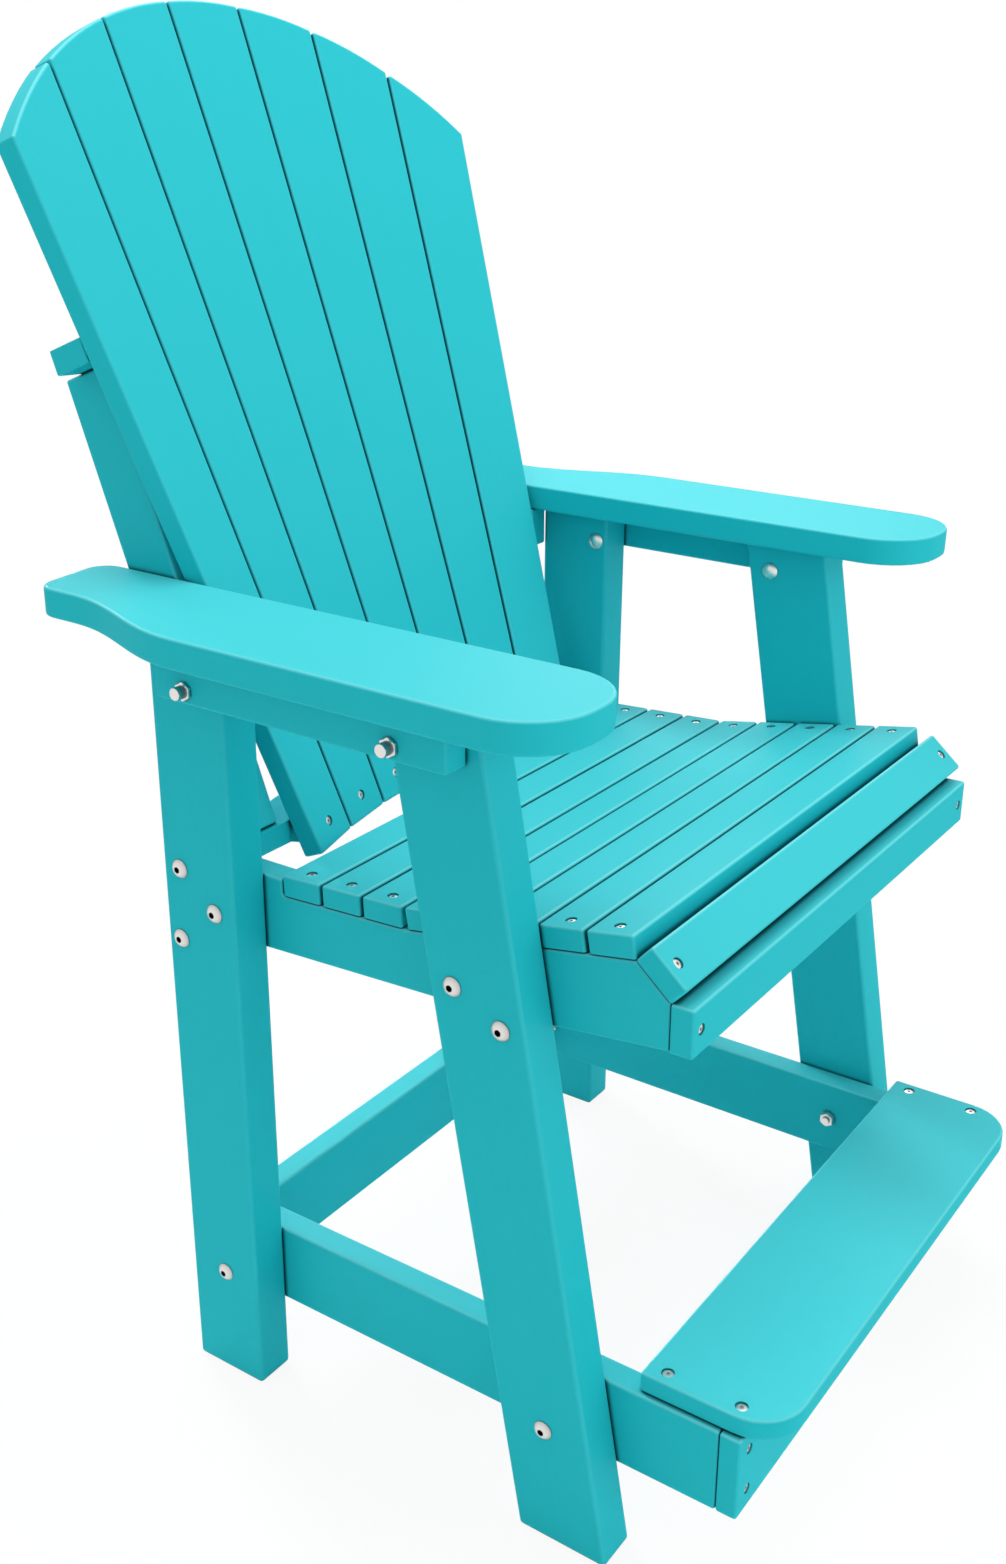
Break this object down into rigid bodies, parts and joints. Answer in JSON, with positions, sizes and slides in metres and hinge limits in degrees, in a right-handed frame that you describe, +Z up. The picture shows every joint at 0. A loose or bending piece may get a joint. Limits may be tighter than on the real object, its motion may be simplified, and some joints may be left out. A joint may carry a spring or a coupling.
{
  "type": "counter chair",
  "caption": "Counter-height slatted armchair in poly lumber with a curved fan back, contoured seat, wide flat arms and a footrest.",
  "frame": {"origin": "middle of the chair's box, on the floor", "axes": "+Z up, the sitter faces -Y, +X points to the sitter's left"},
  "size_m": [0.8328, 0.891, 1.3562],
  "materials": {
    "poly_lumber": "satin extruded HDPE lumber, coloured through",
    "stainless_steel": "plain stainless steel fasteners"
  },
  "bodies": {
    "root": {"rear_leg_right": "poly_lumber", "rear_leg_left": "poly_lumber", "front_leg_right": "poly_lumber", "front_leg_left": "poly_lumber", "side_stretcher_right": "poly_lumber", "side_stretcher_left": "poly_lumber", "cross_stretcher": "poly_lumber", "footrest_board": "poly_lumber", "footrest_apron": "poly_lumber", "seat_stringer_right": "poly_lumber", "seat_stringer_left": "poly_lumber", "seat_slat_1": "poly_lumber", "seat_slat_2": "poly_lumber", "seat_slat_3": "poly_lumber", "seat_slat_4": "poly_lumber", "seat_slat_5": "poly_lumber", "seat_slat_6": "poly_lumber", "seat_slat_7": "poly_lumber", "seat_slat_8": "poly_lumber", "seat_nose_slat": "poly_lumber", "seat_apron": "poly_lumber", "back_slat_1": "poly_lumber", "back_slat_2": "poly_lumber", "back_slat_3": "poly_lumber", "back_slat_4": "poly_lumber", "back_slat_5": "poly_lumber", "back_slat_6": "poly_lumber", "back_slat_7": "poly_lumber", "back_upper_cleat": "poly_lumber", "back_lower_rail": "poly_lumber", "back_support_right": "poly_lumber", "back_support_left": "poly_lumber", "arm_right": "poly_lumber", "arm_left": "poly_lumber", "arm_rail_right": "poly_lumber", "arm_rail_left": "poly_lumber", "arm_block_right": "poly_lumber", "arm_block_left": "poly_lumber", "seat_bolt_rear_upper_right": "stainless_steel", "seat_bolt_rear_upper_left": "stainless_steel", "seat_bolt_rear_middle_right": "stainless_steel", "seat_bolt_rear_middle_left": "stainless_steel", "seat_bolt_rear_lower_right": "stainless_steel", "seat_bolt_rear_lower_left": "stainless_steel", "seat_bolt_front_upper_right": "stainless_steel", "seat_bolt_front_upper_left": "stainless_steel", "seat_bolt_front_lower_right": "stainless_steel", "seat_bolt_front_lower_left": "stainless_steel", "stretcher_bolt_rear_right": "stainless_steel", "stretcher_bolt_rear_left": "stainless_steel", "stretcher_bolt_front_right": "stainless_steel", "stretcher_bolt_front_left": "stainless_steel", "arm_bolt_rear_right": "stainless_steel", "arm_bolt_rear_left": "stainless_steel", "arm_bolt_front_right": "stainless_steel", "arm_bolt_front_left": "stainless_steel"}
  },
  "joints": []
}
